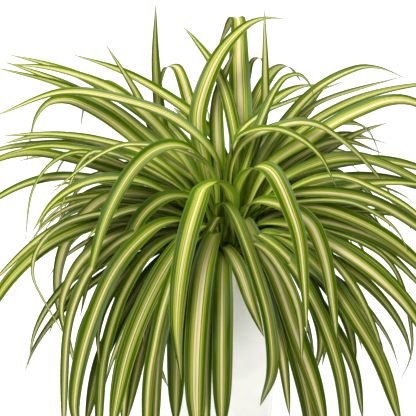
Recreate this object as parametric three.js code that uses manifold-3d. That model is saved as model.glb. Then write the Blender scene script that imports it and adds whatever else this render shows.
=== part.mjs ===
// A variegated spider plant in a tapered round pot.
// Millimetres, +Z up. The origin is the middle of the pot's flat underside, +X is the plant's right
// and -Y its front. Every leaf is a strap of its own that grows from a crown set in the soil.

import * as THREE from 'three';
import Module from 'manifold-3d';
import { mergeVertices } from 'three/addons/utils/BufferGeometryUtils.js';

// ---- Pot, soil and crown ----

const POT_HEIGHT = 280;
const POT_RIM_RADIUS = 90;
const POT_BASE_RADIUS = 66;
const POT_WALL = 5;
const POT_FLOOR = 8;
const RIM_BAND_HEIGHT = 16;
const RIM_BAND_STEP = 2.5;
const RIM_ROUND_RADIUS = 2.5;
const BASE_ROUND_RADIUS = 4;
const ROUND_STEPS = 4;
const POT_SIDES = 72;

const SOIL_BELOW_RIM = 14;
const SOIL_LEVEL = POT_HEIGHT - SOIL_BELOW_RIM;
const SOIL_SIDES = 60;

const CROWN_RADIUS = 46;
const CROWN_HEIGHT = 16;
const CROWN_STEPS = 6;
const CROWN_SIDES = 40;

const TOUCH_GAP = 0.3;

// ---- Leaves ----

const RIB_THICKNESS = 1;
const TIP_THINNING = 0.6;
const BASE_WIDTH_SHARE = 0.36;
const WIDEST_AT = 0.42;
const TAPER_POWER = 2.2;
const BASE_FOLD_DEGREES = 38;
const BLADE_FOLD_DEGREES = 14;
const FRONTWARD_ROLL_DEGREES = 24;
const LEAF_STEPS = 15;
const ROOT_SPREAD = 44;
const ROOT_CLEARANCE = 1.4;

// How far a leaf may be shifted to grow clear of the others.
const SHIFT_TRIES = 900;
const ROOT_TURN_DEGREES = 35;
const ROOT_SLIDE = 14;
const SWING_DEGREES = 8;
const STRETCH_SHARE = 0.05;
const LIFT = 12;
const SHIFT_SPREADS = [0.8812, 0.7766, 0.6844, 0.6031, 0.5315];

// ---- Finishes ----

const potGlaze = new THREE.MeshStandardMaterial({ color: 0xf4f4f1, roughness: 0.3, metalness: 0 });
const pottingSoil = new THREE.MeshStandardMaterial({ color: 0x2a2019, roughness: 0.95, metalness: 0 });
const crownSheath = new THREE.MeshStandardMaterial({ color: 0x8c9440, roughness: 0.7, metalness: 0 });
const leafGreen = new THREE.MeshStandardMaterial({ color: 0x6f8f35, roughness: 0.45, metalness: 0 });

const radians = THREE.MathUtils.degToRad;
const up = new THREE.Vector3(0, 0, 1);

/** A point given by its bearing round the pot's axis, its distance from it and its height over the soil. */
function around(bearing, reach, height) {
  const angle = radians(bearing);
  return new THREE.Vector3(reach * Math.cos(angle), reach * Math.sin(angle), SOIL_LEVEL + height);
}

/** A turned shape from a closed outline of [radius, height] points. */
function turned(outline, sides) {
  const profile = outline.map(([radius, height]) => new THREE.Vector2(radius, height));
  return new THREE.LatheGeometry(profile, sides).rotateX(Math.PI / 2);
}

/** Points on a quarter round from one angle to another, in degrees. */
function quarterRound(centreRadius, centreHeight, radius, fromDegrees, toDegrees) {
  const points = [];
  for (let step = 0; step <= ROUND_STEPS; step += 1) {
    const angle = radians(fromDegrees + (toDegrees - fromDegrees) * step / ROUND_STEPS);
    points.push([centreRadius + radius * Math.cos(angle), centreHeight + radius * Math.sin(angle)]);
  }
  return points;
}

/** The pot's outside radius at a height, without its rim band. */
function potRadiusAt(height) {
  return POT_BASE_RADIUS + (POT_RIM_RADIUS - RIM_BAND_STEP - POT_BASE_RADIUS) * height / POT_HEIGHT;
}

function potGeometry() {
  const bandFoot = POT_HEIGHT - RIM_BAND_HEIGHT;
  const innerRim = potRadiusAt(POT_HEIGHT) - POT_WALL;
  const innerFloor = potRadiusAt(POT_FLOOR) - POT_WALL;
  const rimMiddle = POT_RIM_RADIUS - RIM_ROUND_RADIUS;
  return turned([
    [0, 0],
    ...quarterRound(POT_BASE_RADIUS - BASE_ROUND_RADIUS, BASE_ROUND_RADIUS, BASE_ROUND_RADIUS, -90, 0),
    [potRadiusAt(bandFoot), bandFoot],
    [POT_RIM_RADIUS, bandFoot + RIM_BAND_STEP],
    ...quarterRound(rimMiddle, POT_HEIGHT - RIM_ROUND_RADIUS, RIM_ROUND_RADIUS, 0, 90),
    [innerRim, POT_HEIGHT],
    [innerFloor, POT_FLOOR],
    [0, POT_FLOOR],
  ], POT_SIDES);
}

function soilGeometry() {
  const foot = POT_FLOOR + TOUCH_GAP;
  const inset = POT_WALL + TOUCH_GAP;
  return turned([
    [0, foot],
    [potRadiusAt(foot) - inset, foot],
    [potRadiusAt(SOIL_LEVEL) - inset, SOIL_LEVEL],
    [0, SOIL_LEVEL],
  ], SOIL_SIDES);
}

/** How high the crown's dome stands over the soil at a distance from its middle. */
function crownHeightAt(radius) {
  return TOUCH_GAP + CROWN_HEIGHT * (1 - (radius / CROWN_RADIUS) ** 2);
}

function crownGeometry() {
  const dome = [];
  for (let step = 0; step <= CROWN_STEPS; step += 1) {
    const radius = CROWN_RADIUS * (1 - step / CROWN_STEPS);
    dome.push([radius, SOIL_LEVEL + crownHeightAt(radius)]);
  }
  return turned([[0, SOIL_LEVEL + TOUCH_GAP], ...dome], CROWN_SIDES);
}

/** A leaf's width along its length, as a share of its widest: slim at the root, then a long taper. */
function widthShare(along) {
  if (along < WIDEST_AT) {
    const grown = Math.sin(Math.PI / 2 * along / WIDEST_AT);
    return BASE_WIDTH_SHARE + (1 - BASE_WIDTH_SHARE) * grown;
  }
  const fading = (along - WIDEST_AT) / (1 - WIDEST_AT);
  return 1 - fading ** TAPER_POWER;
}

/** How far each half of the blade is folded up from the rib, in degrees. */
function foldAt(along) {
  const eased = Math.min(1, along / WIDEST_AT);
  return BASE_FOLD_DEGREES + (BLADE_FOLD_DEGREES - BASE_FOLD_DEGREES) * eased;
}

/** How far out on the crown a leaf starts: the flatter it leaves, the further out. */
function rootRadius(leaf) {
  const [reach, height] = leaf.path[0];
  const steepness = Math.atan2(height, Math.abs(reach)) / (Math.PI / 2);
  return ROOT_SPREAD * (1 - steepness);
}

/** The points a leaf's rib passes through, shifted by small shares of the allowed shifts. */
function ribPoints(leaf, shift) {
  const [rootBearing, distance] = leaf.root ?? [leaf.bearing, rootRadius(leaf)];
  const radius = Math.max(0, distance + ROOT_SLIDE * shift.slide);
  const root = around(
    rootBearing + ROOT_TURN_DEGREES * shift.turn,
    radius,
    crownHeightAt(radius) + ROOT_CLEARANCE,
  );
  const passed = leaf.path.map(([reach, height, bearing]) => around(
    (bearing ?? leaf.bearing) + SWING_DEGREES * shift.swing,
    reach * (1 + STRETCH_SHARE * shift.stretch),
    height + LIFT * shift.lift,
  ));
  return [root, ...passed];
}

/** Points and directions along the rib, evenly spaced, with the share of the length grown so far. */
function ribStations(points) {
  const rib = new THREE.CatmullRomCurve3(points, false, 'centripetal');
  const stations = [];
  for (let step = 0; step <= LEAF_STEPS; step += 1) {
    const along = step / LEAF_STEPS;
    stations.push({ along, point: rib.getPointAt(along), heading: rib.getTangentAt(along) });
  }
  return stations;
}

/** The four corners of the blade at one station: left edge, rib top, right edge, rib underside. */
function bladeCorners({ along, point, heading }, side, leaf) {
  const eased = Math.min(1, along / WIDEST_AT);
  const roll = leaf.roll ?? FRONTWARD_ROLL_DEGREES * Math.cos(radians(leaf.bearing));
  const rolled = side.clone().applyAxisAngle(heading, radians(roll * eased));
  const face = new THREE.Vector3().crossVectors(rolled, heading).normalize();
  const half = leaf.width / 2 * widthShare(along);
  const fold = radians(foldAt(along));
  const across = half * Math.cos(fold);
  const raised = half * Math.sin(fold);
  const rib = RIB_THICKNESS / 2 * (1 - TIP_THINNING * along);
  return [
    point.clone().addScaledVector(rolled, -across).addScaledVector(face, raised),
    point.clone().addScaledVector(face, rib),
    point.clone().addScaledVector(rolled, across).addScaledVector(face, raised),
    point.clone().addScaledVector(face, -rib),
  ];
}

/**
 * The triangles of a blade of four-cornered rings, closed at its root and drawn out to a point. The upper
 * and lower faces beside an edge are split alike, from the edge to the rib, so that a twist can't cross them.
 */
function bladeFaces(rings) {
  const faces = [[0, 3, 1], [1, 3, 2]];
  for (let ring = 0; ring < rings - 1; ring += 1) {
    for (let corner = 0; corner < 4; corner += 1) {
      const near = ring * 4 + corner;
      const next = ring * 4 + (corner + 1) % 4;
      if (corner % 2 === 0) {
        faces.push([near, next, next + 4], [near, next + 4, near + 4]);
      } else {
        faces.push([near, next, near + 4], [next, next + 4, near + 4]);
      }
    }
  }
  const tip = rings * 4;
  for (let corner = 0; corner < 4; corner += 1) {
    faces.push([tip - 4 + corner, tip - 4 + (corner + 1) % 4, tip]);
  }
  return faces;
}

/** One strap leaf: a blade folded along its rib. */
function leafGeometry(leaf, shift) {
  const stations = ribStations(ribPoints(leaf, shift));
  const outward = radians(leaf.bearing);
  const side = new THREE.Vector3(Math.sin(outward), -Math.cos(outward), 0);
  const corners = [];
  stations.slice(0, -1).forEach((station) => {
    side.addScaledVector(station.heading, -side.dot(station.heading)).normalize();
    corners.push(...bladeCorners(station, side, leaf));
  });
  corners.push(stations.at(-1).point);
  const geometry = new THREE.BufferGeometry();
  geometry.setAttribute('position', new THREE.Float32BufferAttribute(corners.flatMap((c) => c.toArray()), 3));
  geometry.setIndex(bladeFaces(stations.length - 1).flat());
  return geometry;
}

/** The same shape as a solid that can be measured against others. */
function solidOf(geometry) {
  const welded = mergeVertices(new THREE.BufferGeometry()
    .setAttribute('position', geometry.getAttribute('position'))
    .setIndex(geometry.getIndex()));
  return new wasm.Manifold(new wasm.Mesh({
    numProp: 3,
    vertProperties: new Float32Array(welded.getAttribute('position').array),
    triVerts: new Uint32Array(welded.getIndex().array),
  }));
}

/** The shifts to try, the smallest first. The root moves freely, the rest of the leaf as little as it can. */
function shiftAt(attempt) {
  const [turn, slide, swing, stretch, lift] = SHIFT_SPREADS.map((share) => (
    2 * ((attempt * share + 0.5) % 1) - 1
  ));
  const size = attempt / SHIFT_TRIES;
  const rootSize = Math.sqrt(size);
  return {
    turn: turn * rootSize,
    slide: slide * rootSize,
    swing: swing * size,
    stretch: stretch * size,
    lift: lift * size,
  };
}

/** Whether a solid keeps the touch gap to every solid already grown. */
function liesClear(solid, grown) {
  const box = solid.boundingBox();
  return grown.every((other) => {
    const apart = [0, 1, 2].some((axis) => (
      box.min[axis] > other.box.max[axis] + TOUCH_GAP || other.box.min[axis] > box.max[axis] + TOUCH_GAP
    ));
    return apart || solid.minGap(other.solid, TOUCH_GAP) >= TOUCH_GAP;
  });
}

/** Grows a leaf where it lies clear of everything grown before it. */
function growLeaf(leaf, grown) {
  for (let attempt = 0; attempt < SHIFT_TRIES; attempt += 1) {
    const geometry = leafGeometry(leaf, shiftAt(attempt));
    const solid = solidOf(geometry);
    if (liesClear(solid, grown)) {
      grown.push({ solid, box: solid.boundingBox() });
      return geometry;
    }
  }
  throw new Error(`no clear place for the leaf at bearing ${leaf.bearing} of width ${leaf.width}`);
}

// Each leaf is given by its widest width, its bearing round the pot in degrees and the points its rib
// passes through on the way to its tip: distance from the middle, height over the soil and, where the
// leaf turns aside, the bearing there. A root is a bearing and a distance on the crown.

const UPRIGHT_LEAVES = [
  { width: 15, bearing: 130, root: [165, 32], path: [[95, 62], [130, 145], [140, 225], [137, 300]] },
  { width: 13, bearing: 148, root: [152, 26], path: [[53, 78], [103, 135], [133, 188], [182, 250]] },
  {
    width: 16,
    bearing: 115,
    root: [20, 15],
    path: [[18, 111, 16], [21, 166, 59], [48, 220, 98], [99, 255, 112], [128, 268]],
  },
  {
    width: 22,
    bearing: 50,
    root: [105, 22],
    path: [[29, 124, 152], [37, 174, 152], [37, 233, 113], [59, 265, 80], [91, 284, 62], [118, 283]],
  },
  { width: 17, bearing: 80, root: [120, 12], path: [[14, 124, 126], [38, 194, 103], [77, 248]] },
  {
    width: 26,
    bearing: 90,
    root: [50, 22],
    path: [[36, 149, 56], [102, 229, 79], [141, 277, 83], [178, 228, 92]],
  },
  { width: 12, bearing: 50, root: [50, 32], path: [[48, 90], [82, 170], [82, 223], [77, 303]] },
  { width: 17, bearing: 60, path: [[50, 122], [85, 178], [135, 206], [180, 203], [232, 168]] },
  { width: 17, bearing: 44, path: [[28, 120], [66, 172], [118, 192], [168, 190]] },
  { width: 14, bearing: 27, path: [[47, 110], [85, 162], [135, 204], [202, 223], [240, 213], [269, 199]] },
  { width: 14, bearing: 20, path: [[62, 116], [112, 157], [162, 180], [215, 193], [310, 200]] },
  { width: 20, bearing: 12, path: [[60, 105], [105, 135], [165, 168], [232, 184], [330, 130]] },
];

const FRONT_LEAVES = [
  {
    width: 26,
    bearing: 250,
    root: [300, 24],
    path: [[30, 62, 286], [40, 104, 272], [61, 111], [98, 97], [144, 47], [166, -22], [154, -108]],
  },
  {
    width: 24,
    bearing: 258,
    path: [[30, 34], [58, 46], [95, 42], [128, 28], [162, -31], [174, -105], [164, -180]],
  },
  {
    width: 17,
    bearing: 285,
    root: [264, 32],
    path: [[48, 25, 270], [98, 18, 280], [130, -15, 284], [138, -58, 290]],
  },
  { width: 22, bearing: 269, path: [[50, 20], [98, 17], [130, -10], [155, -50], [165, -76], [171, -165]] },
  {
    width: 15,
    bearing: 288,
    root: [250, 16],
    path: [[22, 68, 246], [42, 79, 275], [79, 44], [104, 29], [147, -3], [165, -24], [178, -76], [141, -151]],
  },
  {
    width: 24,
    bearing: 297,
    root: [312, 24],
    path: [[29, 47, 312], [82, 26], [114, 10], [163, -52], [206, -107], [232, -160]],
  },
];

const RIGHT_LEAVES = [
  {
    width: 13,
    bearing: 332,
    root: [300, 9],
    path: [[7, 128, 322], [22, 159], [66, 175], [99, 169], [128, 150], [152, 112]],
  },
  {
    width: 14,
    bearing: 0,
    root: [345, 9],
    path: [[19, 140, 346], [68, 168], [107, 172], [145, 150], [185, 112], [224, 60]],
  },
  {
    width: 20,
    bearing: 299,
    root: [270, 7],
    path: [[28, 77], [41, 108], [76, 140], [114, 144], [144, 120], [170, 88], [187, 24], [195, -30]],
  },
  {
    width: 19,
    bearing: 312,
    root: [330, 13],
    path: [[22, 49, 328], [61, 85], [110, 92], [147, 85], [172, 50], [190, -12], [201, -68]],
  },
  { width: 20, bearing: 1, root: [2, 21], path: [[58, 76], [109, 109], [165, 118], [222, 98], [300, 50]] },
  { width: 17, bearing: 15, path: [[75, 85], [185, 107], [270, 88], [320, 60]] },
  {
    width: 20,
    bearing: 340,
    root: [341, 24],
    path: [[40, 53], [110, 76], [175, 64], [225, 40], [300, -20]],
  },
  {
    width: 17,
    bearing: 350,
    root: [351, 27],
    path: [[46, 62], [84, 79], [134, 86], [184, 79], [243, 48], [300, 4]],
  },
  { width: 16, bearing: 5, path: [[59, 68], [97, 86], [155, 98], [214, 93], [300, 62]] },
  { width: 16, bearing: 21, path: [[62, 82], [115, 115], [165, 125], [233, 98]] },
  { width: 16, bearing: 338, path: [[60, 46], [126, 60], [201, 47], [248, 20], [290, -15]] },
  {
    width: 20,
    bearing: 325,
    root: [328, 25],
    path: [[55, 47], [105, 58], [168, 44], [223, 20], [265, -12], [310, -75]],
  },
  {
    width: 16,
    bearing: 332,
    root: [330, 36],
    path: [[50, 33], [92, 42], [145, 44], [197, 26], [237, -3], [300, -62]],
  },
  {
    width: 20,
    bearing: 318,
    root: [320, 34],
    path: [[60, 41], [99, 43], [161, 15], [203, -23], [245, -71], [283, -150]],
  },
  {
    width: 17,
    bearing: 312,
    root: [310, 38],
    path: [[70, 27], [107, 13], [136, 0], [179, -36], [218, -84], [238, -150]],
  },
];

const LEFT_LEAVES = [
  {
    width: 19,
    bearing: 216,
    root: [216, 14],
    path: [[18, 102], [49, 146], [89, 160], [127, 146], [170, 95], [198, 25], [216, -33]],
  },
  { width: 19, bearing: 214, path: [[36, 72], [81, 93], [118, 80], [142, 46], [158, -8], [165, -54]] },
  {
    width: 14,
    bearing: 188,
    root: [191, 15],
    path: [[31, 71], [82, 94], [157, 106], [210, 112], [260, 100], [325, 62]],
  },
  { width: 14, bearing: 190, root: [194, 23], path: [[57, 67], [163, 87], [220, 73], [240, 35]] },
  {
    width: 19,
    bearing: 195,
    root: [200, 20],
    path: [[45, 56], [92, 81], [149, 88], [198, 47], [220, -20], [208, -116], [200, -157]],
  },
  {
    width: 20,
    bearing: 204,
    root: [207, 32],
    path: [[47, 45], [103, 60], [154, 67], [227, 51], [282, 12], [330, -55]],
  },
  { width: 20, bearing: 223, path: [[56, 50], [104, 67], [171, 36], [221, -38], [247, -126], [240, -185]] },
  {
    width: 22,
    bearing: 232,
    path: [[30, 46], [63, 56], [118, 36], [165, 0], [205, -50], [230, -110], [240, -145]],
  },
  { width: 17, bearing: 224, path: [[42, 34], [115, 16], [164, -24], [205, -75], [236, -163]] },
  { width: 14, bearing: 230, path: [[35, 26], [80, 26], [130, 4], [175, -42], [195, -114], [203, -174]] },
  { width: 14, bearing: 238, path: [[40, 28], [90, 27], [122, 15], [155, -14], [187, -60], [222, -140]] },
  {
    width: 21,
    bearing: 247,
    root: [249, 34],
    path: [[90, 21], [128, 6], [145, -25], [152, -106], [156, -175]],
  },
  {
    width: 20,
    bearing: 171,
    root: [166, 24],
    path: [[64, 89], [108, 138], [163, 179], [208, 193], [234, 180], [250, 144], [261, 95]],
  },
  { width: 15, bearing: 207, path: [[61, 42], [142, 50], [192, 26], [222, -28], [216, -90]] },
  {
    width: 17,
    bearing: 153,
    root: [172, 17],
    path: [[28, 85, 158], [98, 129], [161, 175], [234, 204], [320, 224]],
  },
  {
    width: 15,
    bearing: 163,
    root: [185, 9],
    path: [[38, 92, 166], [100, 139], [154, 176], [223, 200], [315, 216]],
  },
  {
    width: 15,
    bearing: 178,
    root: [200, 7],
    path: [[8, 113, 205], [28, 150, 206], [65, 184, 192], [118, 204, 184], [200, 212], [288, 180]],
  },
  {
    width: 14,
    bearing: 138,
    root: [70, 18],
    path: [[20, 116, 90], [50, 157, 124], [95, 185], [177, 204], [283, 211]],
  },
  { width: 17, bearing: 115, path: [[60, 118], [105, 182], [130, 210], [170, 200], [187, 163]] },
  {
    width: 15,
    bearing: 139,
    path: [[57, 104], [126, 148], [180, 177], [216, 185], [251, 154], [267, 105]],
  },
];

/** A named mesh, closed and ready to place. */
function piece(name, geometry, material) {
  const mesh = new THREE.Mesh(geometry, material);
  mesh.name = name;
  return mesh;
}

const wasm = await Module();
wasm.setup();

const plant = new THREE.Group();
plant.add(piece('pot', potGeometry(), potGlaze));
plant.add(piece('soil', soilGeometry(), pottingSoil));
plant.add(piece('crown', crownGeometry(), crownSheath));

const grown = plant.children.map((mesh) => {
  const solid = solidOf(mesh.geometry);
  return { solid, box: solid.boundingBox() };
});
const leafGroups = {
  upright_leaf: UPRIGHT_LEAVES,
  front_leaf: FRONT_LEAVES,
  right_leaf: RIGHT_LEAVES,
  left_leaf: LEFT_LEAVES,
};
for (const [prefix, leaves] of Object.entries(leafGroups)) {
  leaves.forEach((leaf, index) => {
    plant.add(piece(`${prefix}_${index + 1}`, growLeaf(leaf, grown), leafGreen));
  });
}

export default plant;
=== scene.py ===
"""A potted spider plant: variegated strap leaves that arch from one crown in a plain white pot."""

import logging
import math
import random
from collections.abc import Iterable, Sequence
from dataclasses import dataclass, field, replace
from enum import Enum

import bmesh
import bpy
from bmesh.types import BMesh, BMVert
from mathutils import Matrix, Vector, noise
from mathutils.bvhtree import BVHTree


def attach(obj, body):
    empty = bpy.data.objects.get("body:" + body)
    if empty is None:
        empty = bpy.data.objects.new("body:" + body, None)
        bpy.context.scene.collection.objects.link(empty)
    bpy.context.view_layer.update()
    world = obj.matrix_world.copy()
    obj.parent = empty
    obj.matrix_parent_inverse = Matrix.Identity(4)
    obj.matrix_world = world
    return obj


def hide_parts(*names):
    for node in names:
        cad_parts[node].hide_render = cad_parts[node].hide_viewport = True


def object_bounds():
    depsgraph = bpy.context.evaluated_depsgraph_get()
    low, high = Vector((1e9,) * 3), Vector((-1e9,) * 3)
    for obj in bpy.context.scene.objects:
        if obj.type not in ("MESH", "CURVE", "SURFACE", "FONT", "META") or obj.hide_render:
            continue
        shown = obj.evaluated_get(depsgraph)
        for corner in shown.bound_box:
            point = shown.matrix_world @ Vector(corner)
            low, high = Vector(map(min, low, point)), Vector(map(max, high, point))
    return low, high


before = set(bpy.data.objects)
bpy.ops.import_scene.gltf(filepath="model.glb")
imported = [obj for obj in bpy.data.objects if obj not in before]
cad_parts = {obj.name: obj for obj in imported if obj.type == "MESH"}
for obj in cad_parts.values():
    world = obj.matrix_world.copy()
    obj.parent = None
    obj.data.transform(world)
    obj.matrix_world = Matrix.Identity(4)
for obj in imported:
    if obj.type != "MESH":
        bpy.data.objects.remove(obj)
cad_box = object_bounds()

logging.basicConfig(level=logging.INFO, format="%(message)s")
log = logging.getLogger("spider_plant")

MM = 0.001
SOIL_LEVEL = 266.0
BODY = "root"
MERGE_WITHIN = 1e-6
SHARP_FROM = math.radians(50)
BLADE_MAP = "blade"
LOOK_LAYER = "leaf_look"

Colour = tuple[float, float, float]
Span = tuple[float, float]


def srgb(red: int, green: int, blue: int) -> Colour:
    """A colour given in screen values from 0 to 255, as the shader's own linear values."""
    return tuple(
        c / 12.92 if c <= 0.04045 else ((c + 0.055) / 1.055) ** 2.4
        for c in (red / 255, green / 255, blue / 255)
    )


class Value:
    """One output of a shader node, on which Python's operators add Math nodes."""

    def __init__(self, tree: "ShaderTree", socket: bpy.types.NodeSocket) -> None:
        """Keeps the tree the output belongs to and the output itself."""
        self.tree = tree
        self.socket = socket

    def output(self, name: str) -> "Value":
        """Another output of the same node."""
        return Value(self.tree, self.socket.node.outputs[name])

    def math(self, operation: str, *others: "Value | float") -> "Value":
        """This value with others through one Math node."""
        return self.tree.add("ShaderNodeMath", {"operation": operation}, dict(enumerate((self, *others))))

    def __add__(self, other: "Value | float") -> "Value":
        """Sum."""
        return self.math("ADD", other)

    __radd__ = __add__

    def __sub__(self, other: "Value | float") -> "Value":
        """Difference."""
        return self.math("SUBTRACT", other)

    def __rsub__(self, other: float) -> "Value":
        """Difference, reflected."""
        return self.tree.add("ShaderNodeMath", {"operation": "SUBTRACT"}, {0: other, 1: self})

    def __mul__(self, other: "Value | float") -> "Value":
        """Product."""
        return self.math("MULTIPLY", other)

    __rmul__ = __mul__

    def __abs__(self) -> "Value":
        """Size without sign."""
        return self.math("ABSOLUTE")

    def between(self, low: float, high: float) -> "Value":
        """0 below low, 1 above high and a smooth rise between them."""
        values = {"Value": self, "From Min": low, "From Max": high}
        return self.tree.add("ShaderNodeMapRange", {"interpolation_type": "SMOOTHSTEP"}, values)


class ShaderTree:
    """The nodes of one material, around its Principled shader."""

    def __init__(self, name: str) -> None:
        """Makes a material with a Principled shader.

        Args:
            name: the material's name.
        """
        self.material = bpy.data.materials.new(name)
        self.material.use_nodes = True
        self.nodes = self.material.node_tree.nodes
        self.links = self.material.node_tree.links
        self.shader = self.nodes["Principled BSDF"]

    def add(self, kind: str, settings: dict | None = None, values: dict | None = None) -> Value:
        """Adds a node.

        Args:
            kind: the node's type.
            settings: its properties, and under "stops" a ramp's positions and colours.
            values: numbers, colours or links for its inputs, by name or number.

        Returns:
            The node's first output in use.
        """
        node = self.nodes.new(kind)
        for key, setting in (settings or {}).items():
            if key == "stops":
                self.set_stops(node.color_ramp, setting)
            else:
                setattr(node, key, setting)
        for key, value in (values or {}).items():
            self.feed(node.inputs[key], value)
        return Value(self, next(socket for socket in node.outputs if socket.enabled))

    def set_stops(self, ramp: bpy.types.ColorRamp, stops: Sequence[tuple[float, Colour]]) -> None:
        """Gives a ramp its stops, from the first to the last."""
        while len(ramp.elements) < len(stops):
            ramp.elements.new(0.5)
        for element, (position, colour) in zip(ramp.elements, stops, strict=True):
            element.position = position
            element.color = (*colour, 1)

    def feed(self, socket: bpy.types.NodeSocket, value: "Value | float | Colour") -> None:
        """Links a socket or gives it a constant."""
        if isinstance(value, Value):
            self.links.new(value.socket, socket)
        elif socket.type == "RGBA":
            socket.default_value = (*value, 1)
        else:
            socket.default_value = value

    def mix(self, share: "Value | float", first: "Value | Colour", second: "Value | Colour") -> Value:
        """Blends two colours: the first at share 0, the second at 1."""
        node = self.nodes.new("ShaderNodeMix")
        node.data_type = "RGBA"
        colour_inputs = [socket for socket in node.inputs if socket.type == "RGBA"]
        self.feed(node.inputs["Factor"], share)
        self.feed(colour_inputs[0], first)
        self.feed(colour_inputs[1], second)
        return Value(self, next(socket for socket in node.outputs if socket.type == "RGBA"))

    def bump(self, height: Value, strength: float, distance: float) -> Value:
        """A normal roughened by a height, in metres."""
        values = {"Height": height, "Strength": strength, "Distance": distance}
        return self.add("ShaderNodeBump", None, values)

    def noise(self, place: Value, scale: float, detail: float) -> Value:
        """Noise read at a place."""
        values = {"Vector": place, "Scale": scale, "Detail": detail}
        return self.add("ShaderNodeTexNoise", None, values)

    def parts(self, vector: Value) -> tuple[Value, Value, Value]:
        """The three parts of a vector."""
        first = self.add("ShaderNodeSeparateXYZ", None, {0: vector})
        return first, first.output("Y"), first.output("Z")

    def place(self) -> Value:
        """The place on the object, in its own metres."""
        return self.add("ShaderNodeTexCoord").output("Object")

    def dress(self, **sockets: "Value | float | Colour") -> bpy.types.Material:
        """Feeds the Principled shader's sockets, their names written with _ for a space.

        Returns:
            The finished material.
        """
        for name, value in sockets.items():
            self.feed(self.shader.inputs[name.replace("_", " ")], value)
        return self.material


@dataclass(frozen=True)
class Bands:
    """The colours of one age of leaf, from its rib to its edge."""

    cream: Colour
    pale: Colour
    lime: Colour
    line: Colour
    margin: Colour
    places: tuple[float, ...]

    @classmethod
    def screen(cls, places: tuple[float, ...], *colours: tuple[int, int, int]) -> "Bands":
        """The bands from screen colours, in the order of the fields, at their places on the ramp."""
        return cls(*(srgb(*colour) for colour in colours), places)

    def ramp(self, tree: ShaderTree, place: Value) -> Value:
        """The bands' colour.

        Args:
            tree: the material's nodes.
            place: 0 at the rib and 1 at the edge.

        Returns:
            The colour there.
        """
        pairs = (self.cream, self.line, self.pale, self.lime)
        order = [colour for colour in pairs for _ in range(2)] + [self.line, self.margin, self.margin]
        stops = tuple(zip(self.places, order, strict=True))
        return tree.add("ShaderNodeValToRGB", {"stops": stops}, {"Fac": place})


@dataclass(frozen=True)
class VariegatedBlade:
    """A striped leaf face: a cream middle, lime bands beside it, green margins and a fine pale edge, with a
    grey-green sheen painted on the margins.

    It reads the blade's own map, across and along the leaf, and three values that each leaf has of
    its own: its tone, which varies at random and carries painted shade on low leaves, the seed of its
    stripes, and how withered its tip is.
    """

    name: str
    grown: Bands
    # The base's colours: the yellower green of young leaf, brightened further as painted light shining
    # through the thin leaf.
    young_lit: Bands
    edge: Colour = srgb(150, 162, 84)
    # Painted shade and dark stripe lines: the deep green that low leaves are darkened towards and that the
    # lines take.
    shade_and_line_green: Colour = srgb(26, 42, 0)
    withered: Colour = srgb(122, 88, 46)
    # How strongly low leaves are darkened: painted shade.
    painted_shade: float = 0.85
    # Painted sheen: how strongly a grey-green highlight is painted on the margins, and its colour.
    painted_sheen: float = 0.42
    painted_sheen_colour: Colour = srgb(134, 154, 118)
    roughness: float = 0.35
    gloss: float = 0.05
    vein_depth: float = 0.00025
    streaks: float = 13.0
    pale_streaks: float = 17.0
    fine_streaks: float = 64.0
    painted_sheen_patches: float = 2.0
    grown_at: float = 0.42
    line_strength: float = 0.35
    fine_line_strength: float = 0.25

    def material(self) -> bpy.types.Material:
        """Builds the material."""
        tree = ShaderTree(self.name)
        blade = tree.add("ShaderNodeUVMap", {"uv_map": BLADE_MAP})
        across, along, _ = tree.parts(blade)
        look = tree.add("ShaderNodeAttribute", {"attribute_name": LOOK_LAYER}).output("Vector")
        tone, seed, wear = tree.parts(look)

        def streaks(count: float, seed: Value, along: Value = along) -> Value:
            """About so many streaks side by side along the leaf, from 0.3 to 0.7."""
            values = {"X": across * count + seed * 61.0, "Y": along * 0.9, "Z": seed * 17.0}
            return tree.noise(tree.add("ShaderNodeCombineXYZ", None, values), 1.0, 2.0)

        lines = streaks(self.streaks, seed)
        pale_lines = streaks(self.pale_streaks, seed + 3.7)
        fine_lines = streaks(self.fine_streaks, seed)
        from_middle = abs(across - 0.5 + (seed - 0.5) * 0.1) * 2.0
        widening = (seed * 7.0).math("FRACT") * 0.2 - 0.05
        place = from_middle + (lines - 0.5) * 0.2 + widening
        # The base takes the young colours. They are partly the young leaf's real lime and partly painted
        # light shining through it.
        ageing = (along - tone * 0.15).between(0.0, self.grown_at)
        aged = tree.mix(ageing, self.young_lit.ramp(tree, place), self.grown.ramp(tree, place))
        streaked = tree.mix(pale_lines.between(0.57, 0.6) * 0.45, aged, self.grown.pale)
        # Painted sheen: a grey-green highlight painted in patches on the margins, fading out before the tip.
        painted_sheen = streaks(self.painted_sheen_patches, seed + 8.1, along * 3.0).between(0.52, 0.66)
        outward = 1 - along.between(0.6, 0.85)
        painted_sheen_share = painted_sheen * place.between(0.5, 0.6) * outward * self.painted_sheen
        sheened = tree.mix(painted_sheen_share, streaked, self.painted_sheen_colour)
        # Painted shade: leaves of low tone, the low-hanging ones, darken towards deep green, the margins more
        # than the cream.
        towards_edge = place.between(0.1, 0.45) * 0.6 + 0.4
        painted_shade_share = (1 - tone) * towards_edge * (ageing * 0.45 + 0.55) * self.painted_shade
        shaded = tree.mix(painted_shade_share, sheened, self.shade_and_line_green)
        broad = lines.between(0.55, 0.58) * self.line_strength
        fine = fine_lines.between(0.5, 0.7) * self.fine_line_strength
        lined = tree.mix((broad + fine) * (ageing * 0.5 + 0.5), shaded, self.shade_and_line_green)
        edged = tree.mix((abs(across - 0.5) * 2.0).between(0.93, 0.985) * 0.3, lined, self.edge)
        tip = tree.mix(along.between(0.955, 0.995) * wear, edged, self.withered)
        return tree.dress(
            Base_Color=tip,
            Roughness=self.roughness + (lines - 0.5) * 0.2,
            Normal=tree.bump(fine_lines + lines, 0.6, self.vein_depth),
            Specular_IOR_Level=self.gloss,
        )


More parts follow.
